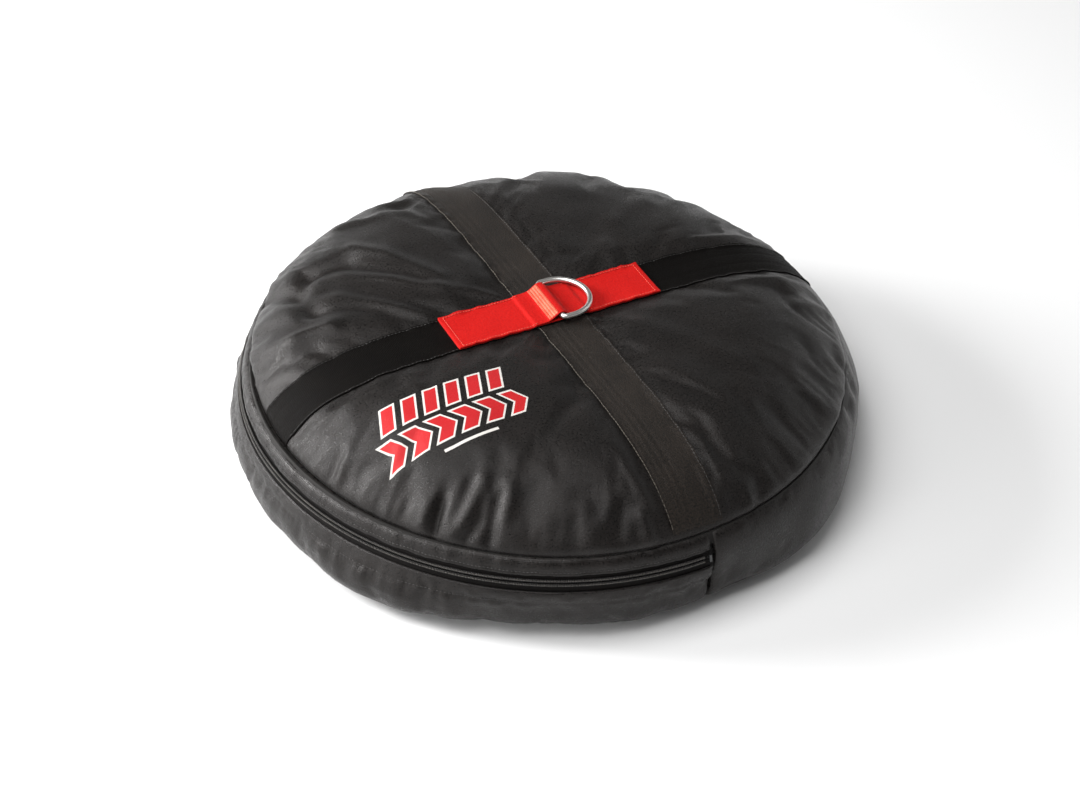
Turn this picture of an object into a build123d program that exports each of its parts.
from build123d import *
import os
from math import asin, cos, degrees, radians, sin

# Floor anchor weight bag for boxing: a round, sand-filled fabric sack that holds down the
# lower cord of a double-end ball. Two webbing straps cross on its lid, and a steel D-ring
# is trapped under a red webbing band where they cross. A zip runs half way round the side.
#
# Frame: millimetres, +Z up, origin at the centre of the base on the floor.
# +X runs along the red band, +Y along the other strap. Angles are about +Z from +X.

# ---- driving dimensions ----
OUTER_R = 300.0  # widest radius, where the side bulges
BULGE_Z = 30.0  # height of the widest circle
SEAM_R = 285.0  # radius of the seam between lid and side
SEAM_Z = 91.0  # height of that seam
BASE_R = 273.0  # radius of the flat base
LID_RISE = 52.0  # how far the lid stands above its seam
CLOTH = 1.0  # coated polyester with its backing
BINDING = 1.0  # tape over the raw edges inside

WEB_WIDTH = 50.0
WEB_THICK = 1.3  # black webbing
BAND_THICK = 1.4  # red webbing
PLY_GAP = 0.1  # air between layers that lie on each other
BAND_HALF = 105.0  # half length of the red band
STEP_RUN = 4.0  # length over which a strap climbs the strap below it
STEP_START = WEB_WIDTH / 2 + 1.0

RING_WIRE = 5.4
RING_INNER_W = 51.5
RING_DEPTH = 38.3  # bar centre to bow centre
RING_CORNER = 4.0  # bend radius of the wire's centre line at the bar's ends
BAR_LIFT = 3.35  # bar centre above the red band's flat top
HUMP_GAP = 0.6  # clearance of the band round the bar
HUMP_LEFT = 19.0  # reach of the band's hump to each side of the bar
HUMP_RIGHT = 16.0

ZIP_START = 93.0  # angles of the two side seams that end the zip
ZIP_END = 273.0
ZIP_Z = 70.0  # height of the zip's centre line
ZIP_FACING = 17.7  # degrees above the horizon that the side faces at the zip
FACING_LOW = 77.0  # lower edge of the cloth strip above the zip
BAND_TOP = 61.0  # upper folded edge of the side below the zip
TAPE_DEPTH = 1.3  # how far the tape's outer face lies behind the cloth's outer face
TAPE_THICK = 0.6
TAPE_BACK = 16.0  # how far each tape reaches from the centre line
COIL_SLOT = 1.5  # gap between the two rows of teeth
COIL_WIDE = 2.6
COIL_HIGH = 2.1
COIL_LIFT = 0.1  # gap between the tape and the teeth sewn on it
SLIDER_ANGLE = 98.0  # where the slider parks when the zip is shut
SEAM_SLIT = 0.05  # degrees left between parts that butt at a side seam

LINER_GAP = 5.0  # cover's outer face to the inner sack
LINER_THICK = 0.8
SAND_GAP = LINER_GAP + LINER_THICK + 0.3
STRIP_LENGTH = 320.0  # hook and loop closure of the inner sack
STRIP_WIDTH = 30.0
STRIP_THICK = 1.2
FLOOR_SAVED = 3.7  # the sack lies on the base, so its gap there is smaller by this

# ---- heights of the layers where the straps cross ----
LID_TOP = SEAM_Z + LID_RISE
CROSS_LOW = LID_TOP + PLY_GAP
LONG_LOW = CROSS_LOW + WEB_THICK + PLY_GAP
BAND_LOW = LONG_LOW + WEB_THICK + PLY_GAP
BAND_UP = BAND_LOW + BAND_THICK + PLY_GAP
BAND_FLAT_TOP = BAND_UP + BAND_THICK
BAR_Z = BAND_FLAT_TOP + BAR_LIFT
STEP_DROP = WEB_THICK + PLY_GAP


# ---- the cover's outline, in the half plane x >= 0 of XZ ----
# The lid is flat in the middle, then turns down through two arcs. The side is two arcs that
# meet at the bulge. Each arc is (centre x, centre z, radius), and a point on it is found from
# the direction in which the surface faces, as degrees above the horizon.
FLAT_R = 150.0
LID_TURN = 70.0  # where the lid's wide arc gives way to its tight one
LID_WIDE_R = 241.7
LID_TIGHT_R = 120.3
SIDE_R = 131.5
FOOT_R = 30.2

LID_WIDE = (FLAT_R, LID_TOP - LID_WIDE_R, LID_WIDE_R)
ARC_STEP = LID_WIDE_R - LID_TIGHT_R
LID_TIGHT = (
    FLAT_R + ARC_STEP * cos(radians(LID_TURN)),
    LID_TOP - LID_WIDE_R + ARC_STEP * sin(radians(LID_TURN)),
    LID_TIGHT_R,
)
SIDE = (OUTER_R - SIDE_R, BULGE_Z, SIDE_R)
FOOT = (OUTER_R - FOOT_R, BULGE_Z, FOOT_R)


def on_arc(arc, facing, offset):
    x, z, radius = arc
    turn = radians(facing)
    return x + (radius + offset) * cos(turn), 0, z + (radius + offset) * sin(turn)


def arc_edge(arc, first, last, offset):
    middle = (first + last) / 2
    return ThreePointArc(*(on_arc(arc, facing, offset) for facing in (first, middle, last)))


def lid_region(offset):
    """Everything under the lid's curve, out to beyond the seam."""
    wide = arc_edge(LID_WIDE, 90, LID_TURN, offset)
    tight = arc_edge(LID_TIGHT, LID_TURN, 0, offset)
    top, foot = wide @ 0, tight @ 1
    rest = Polyline(foot, (foot.X, 0, -50), (0, 0, -50), (0, 0, top.Z), top)
    return make_face([wide, tight, *rest.edges()])


def side_region(offset):
    """Everything inside the side's curve, up to beyond the seam."""
    foot = arc_edge(FOOT, -84, 0, offset)
    wall = arc_edge(SIDE, 0, 75, offset)
    low, high = foot @ 0, wall @ 1
    rest = Polyline(high, (0, 0, high.Z), (0, 0, -40), (low.X, 0, -40), low)
    return make_face([foot, wall, *rest.edges()])


def rectangle(x_low, x_high, z_low, z_high):
    corners = [(x_low, z_low), (x_high, z_low), (x_high, z_high), (x_low, z_high)]
    return make_face(Polyline([(x, 0, z) for x, z in corners], close=True))


def between(z_low, z_high):
    return rectangle(0, 2 * OUTER_R, z_low, z_high)


def skin(inner, outer, z_low, z_high, start=0.0, arc=360.0):
    """A skin of the cover's shape between two offsets and two heights, turned about +Z."""
    far = lid_region(outer) & side_region(outer)
    near = lid_region(inner) & side_region(inner)
    section = (far - near) & between(z_low, z_high)
    return Rot(0, 0, start) * revolve(section, Axis.Z, arc)


# ---- cover panels ----
ZIP_ARC = ZIP_END - ZIP_START - 2 * SEAM_SLIT
REAR_ARC = 360 - (ZIP_END - ZIP_START) - 2 * SEAM_SLIT
SIDE_LOW = CLOTH + 0.2


def lid_panel():
    return skin(-CLOTH, 0, SEAM_Z + 0.4, LID_TOP)


def base_panel():
    return extrude(Circle(BASE_R), CLOTH)


def side_rear():
    return skin(-CLOTH, 0, SIDE_LOW, SEAM_Z, ZIP_END + SEAM_SLIT, REAR_ARC)


def side_front():
    return skin(-CLOTH, 0, SIDE_LOW, BAND_TOP, ZIP_START + SEAM_SLIT, ZIP_ARC)


def zip_facing():
    return skin(-CLOTH, 0, FACING_LOW, SEAM_Z, ZIP_START + SEAM_SLIT, ZIP_ARC)


def ring_binding(z_low, z_high, depth):
    """Tape that binds the raw seam edges inside the cover, all the way round."""
    return skin(-depth - BINDING, -depth, z_low, z_high)


def side_binding(angle):
    """Tape that binds a side seam inside the cover, between the two ring bindings."""
    return skin(-2.2 - BINDING, -2.2, 16.0, 78.0, angle - 1.2, 2.4)


# ---- straps on the lid ----
def strap(section):
    return extrude(section, WEB_WIDTH / 2, dir=(0, 1, 0), both=True)


def lid_section(low, high, x_low):
    """A layer that follows the lid from x_low to the seam, on both sides of the middle."""
    layer = lid_region(high) - lid_region(low)
    layer &= rectangle(x_low, SEAM_R - 3.0, SEAM_Z, LID_TOP + 2 * WEB_THICK)
    return layer + mirror(layer, about=Plane.YZ)


def stepped_section(half, low, thick):
    """A flat layer that steps up over the cross strap."""
    near, far = STEP_START, STEP_START + STEP_RUN
    under = [(-half, low - STEP_DROP), (-far, low - STEP_DROP), (-near, low)]
    under += [(near, low), (far, low - STEP_DROP), (half, low - STEP_DROP)]
    over = [(x, z + thick) for x, z in reversed(under)]
    return make_face(Polyline([(x, 0, z) for x, z in under + over], close=True))


def cross_strap():
    return Rot(0, 0, 90) * strap(lid_section(PLY_GAP, PLY_GAP + WEB_THICK, 0))


def long_strap():
    middle = 60.0
    ends = lid_section(PLY_GAP, PLY_GAP + WEB_THICK, middle)
    return strap(ends + stepped_section(middle, LONG_LOW, WEB_THICK))


def band_lower():
    return strap(stepped_section(BAND_HALF, BAND_LOW, BAND_THICK))


def tent(radius, z_low):
    """A region that rises from z_low in straight flanks to a round crown over the bar."""
    crown = Pos(0, 0, BAR_Z) * (Plane.XZ * Circle(radius))
    floor = Line((-HUMP_LEFT, 0, z_low), (HUMP_RIGHT, 0, z_low))
    edges = [Plane.XZ.to_local_coords(e) for e in (crown.edge(), floor)]
    return Plane.XZ * make_hull(edges)


def band_upper():
    """The red band's top ply, which humps over the ring's bar."""
    flat = stepped_section(BAND_HALF, BAND_UP, BAND_THICK)
    inside = RING_WIRE / 2 + HUMP_GAP
    outer = tent(inside + BAND_THICK, BAND_UP + BAND_THICK - 0.05)
    return strap(flat + outer - tent(inside, BAND_UP))


# ---- the D-ring: a bent and welded wire, lying towards +X at rest ----
def d_ring():
    half = (RING_INNER_W + RING_WIRE) / 2
    bow = half  # a half circle closes the D
    arm = RING_DEPTH - bow
    tilt = degrees(asin((BAR_LIFT - RING_WIRE / 2 - 0.3) / RING_DEPTH))
    corner_y = half - RING_CORNER
    path = Wire(
        [
            Line((0, -corner_y, 0), (0, corner_y, 0)),
            RadiusArc((0, corner_y, 0), (RING_CORNER, half, 0), RING_CORNER),
            Line((RING_CORNER, half, 0), (arm, half, 0)),
            ThreePointArc((arm, half, 0), (arm + bow, 0, 0), (arm, -half, 0)),
            Line((arm, -half, 0), (RING_CORNER, -half, 0)),
            RadiusArc((RING_CORNER, -half, 0), (0, -corner_y, 0), RING_CORNER),
        ]
    )
    section = Plane(origin=(0, 0, 0), z_dir=(0, 1, 0)) * Circle(RING_WIRE / 2)
    wire = sweep(section, path=path)
    return Pos(0, 0, BAR_Z) * Rot(0, tilt, 0) * wire


# ---- the zip ----
def zip_tape(sign):
    reach = sorted((ZIP_Z + sign * 1.2, ZIP_Z + sign * TAPE_BACK))
    outer = -TAPE_DEPTH
    return skin(outer - TAPE_THICK, outer, *reach, ZIP_START + 0.2, ZIP_ARC - 0.3)


def zip_place(angle):
    """Plane on the tape at an angle: local x along the zip, y across it, z outwards."""
    origin = on_arc(SIDE, ZIP_FACING, -TAPE_DEPTH)
    out = (cos(radians(ZIP_FACING)), 0, sin(radians(ZIP_FACING)))
    flat = Plane(origin=origin, x_dir=(0, 1, 0), z_dir=out)
    return Rot(0, 0, angle) * flat.location


def zip_coil(sign):
    """One row of teeth, as the ring of its outer size, square to the side's surface."""
    near, far = sign * COIL_SLOT / 2, sign * (COIL_SLOT / 2 + COIL_WIDE)
    heights = (COIL_LIFT, COIL_LIFT + COIL_HIGH)
    corners = [(near, heights[0]), (far, heights[0]), (far, heights[1]), (near, heights[1])]
    flat = zip_place(0)
    points = [(flat * Pos(0, y, height)).position for y, height in corners]
    section = make_face(Polyline(points, close=True))
    return Rot(0, 0, ZIP_START + 3) * revolve(section, Axis.Z, 175.0)


def rounded_block(length, width, height, low, radius=0.3):
    """A block with softened edges that stands on local height low."""
    block = Pos(0, 0, low + height / 2) * Box(length, width, height)
    return fillet(block.edges(), radius)


def top_stops():
    """Two clamps that end the rows of teeth beyond the parked slider."""
    place = zip_place(ZIP_START + 2.0)
    shift = COIL_SLOT / 2 + COIL_WIDE / 2
    blocks = [Pos(0, s * shift, 0) * rounded_block(3.0, 2.6, 2.2, 0.1) for s in (1, -1)]
    return Compound([place * block for block in blocks])


def bottom_stop():
    """One clamp across both rows at the zip's far end."""
    return zip_place(ZIP_END - 1.0) * rounded_block(2.4, 6.8, 2.6, 0.1)


SLIDER_LONG = 12.5
SLIDER_WIDE = 9.4
PLATE = 1.2
FLANGE = 1.0
PLATE_LIFT = COIL_LIFT + COIL_HIGH + 0.4  # underside of the outer plate above the tape
CROWN_X = 0.5
CROWN_HOLE = 1.15
PULL_BAR = 0.85
PIVOT_LIFT = PLATE_LIFT + PLATE + CROWN_HOLE + 0.1


def plate_outline():
    """A slider's plate seen from outside: wide where the teeth part, narrow where they meet."""
    wide, narrow = SLIDER_WIDE / 2, SLIDER_WIDE / 2 - 1.4
    half = SLIDER_LONG / 2
    corners = [(-half, -wide), (0, -wide), (half, -narrow)]
    corners += [(x, -y) for x, y in reversed(corners)]
    return fillet(make_face(Polyline(corners, close=True)).vertices(), 0.9)


def zip_slider():
    """The slider's casting: two plates joined by a post, side flanges and a crown."""
    plate = extrude(plate_outline(), PLATE)
    outer = Pos(0, 0, PLATE_LIFT) * plate
    inner = Pos(0, 0, -TAPE_THICK - 0.35 - PLATE) * plate
    body = outer + inner
    post_low = -TAPE_THICK - 0.35
    post = Box(1.8, 0.9, PLATE_LIFT - post_low)
    body += Pos(-SLIDER_LONG / 2 + 1.5, 0, (PLATE_LIFT + post_low) / 2) * post
    rim_low = 0.35
    rim = Box(SLIDER_LONG / 2 - 1.0, FLANGE, PLATE_LIFT - rim_low)
    for s in (1, -1):
        y = s * (SLIDER_WIDE / 2 - FLANGE / 2)
        body += Pos(-SLIDER_LONG / 4 - 0.3, y, (PLATE_LIFT + rim_low) / 2) * rim
    crown = extrude(
        Plane.XZ * (Pos(CROWN_X, PIVOT_LIFT) * SlotOverall(5.6, 2 * CROWN_HOLE + 1.9)),
        1.3,
        both=True,
    )
    crown += Pos(CROWN_X, 0, PLATE_LIFT + PLATE + 0.5) * Box(4.6, 2.6, 1.4)
    hole = Plane.XZ * (Pos(CROWN_X, PIVOT_LIFT) * Circle(CROWN_HOLE))
    body += crown
    body -= extrude(hole, 6, both=True)
    return zip_place(SLIDER_ANGLE) * body


def zip_pull():
    """The pull: a cross bar through the crown, two arms and a flat tab, lying along +x."""
    reach, arm_y, tab_long, tab_wide = 6.0, 2.6, 24.0, 7.6
    bar = Plane.XZ * Circle(PULL_BAR)
    pull = extrude(bar, arm_y, both=True)
    for s in (1, -1):
        pull += Pos(reach / 2, s * arm_y, 0) * Box(reach + 1.7, 1.2, 1.5)
    tab = extrude(RectangleRounded(tab_long, tab_wide, 2.4), 1.5)
    tab = Pos(reach + tab_long / 2, 0, -0.75) * tab
    window = Pos(reach + tab_long - 5.5, 0, -2) * extrude(SlotOverall(6.0, 3.2), 4)
    pull += tab - window
    lie = Pos(CROWN_X, 0, PIVOT_LIFT)
    return zip_place(SLIDER_ANGLE) * (lie * pull)


# ---- what is inside ----
def sack(gap):
    """The solid that fills the cover, a gap away from its outer face."""
    section = lid_region(-gap) & side_region(-gap) & between(gap - FLOOR_SAVED, LID_TOP)
    return revolve(section, Axis.Z)


def liner():
    return sack(LINER_GAP) - sack(LINER_GAP + LINER_THICK)


def sand():
    return sack(SAND_GAP)


def closure_strip(layer):
    low = LID_TOP - LINER_GAP + 0.1 + layer * (STRIP_THICK + 0.1)
    return Pos(0, 0, low + STRIP_THICK / 2) * Box(STRIP_LENGTH, STRIP_WIDTH, STRIP_THICK)


PARTS = {
    "base_panel": base_panel,
    "side_panel_rear": side_rear,
    "side_panel_front": side_front,
    "zip_facing": zip_facing,
    "lid_panel": lid_panel,
    "lid_seam_binding": lambda: ring_binding(80.0, 90.0, 2.2),
    "base_seam_binding": lambda: ring_binding(4.0, 14.0, 1.4),
    "side_seam_binding_rear": lambda: side_binding(ZIP_START),
    "side_seam_binding_front": lambda: side_binding(ZIP_END),
    "cross_strap": cross_strap,
    "long_strap": long_strap,
    "red_band_lower": band_lower,
    "red_band_upper": band_upper,
    "d_ring": d_ring,
    "zip_tape_upper": lambda: zip_tape(1),
    "zip_tape_lower": lambda: zip_tape(-1),
    "zip_coil_upper": lambda: zip_coil(1),
    "zip_coil_lower": lambda: zip_coil(-1),
    "zip_top_stops": top_stops,
    "zip_bottom_stop": bottom_stop,
    "zip_slider": zip_slider,
    "zip_pull": zip_pull,
    "liner_sack": liner,
    "liner_hook_strip": lambda: closure_strip(0),
    "liner_loop_strip": lambda: closure_strip(1),
    "sand_fill": sand,
}


os.makedirs("parts", exist_ok=True)
for name, make in PARTS.items():
    export_step(make(), f"parts/{name}.step")

pivot = zip_place(SLIDER_ANGLE) * Pos(CROWN_X, 0, PIVOT_LIFT)
across = (zip_place(SLIDER_ANGLE) * Pos(0, 1, 0)).position - zip_place(SLIDER_ANGLE).position
print("ring bar height", BAR_Z, "band top", BAND_FLAT_TOP)
print("pull pivot", tuple(pivot.position), "axis across the zip", tuple(across))
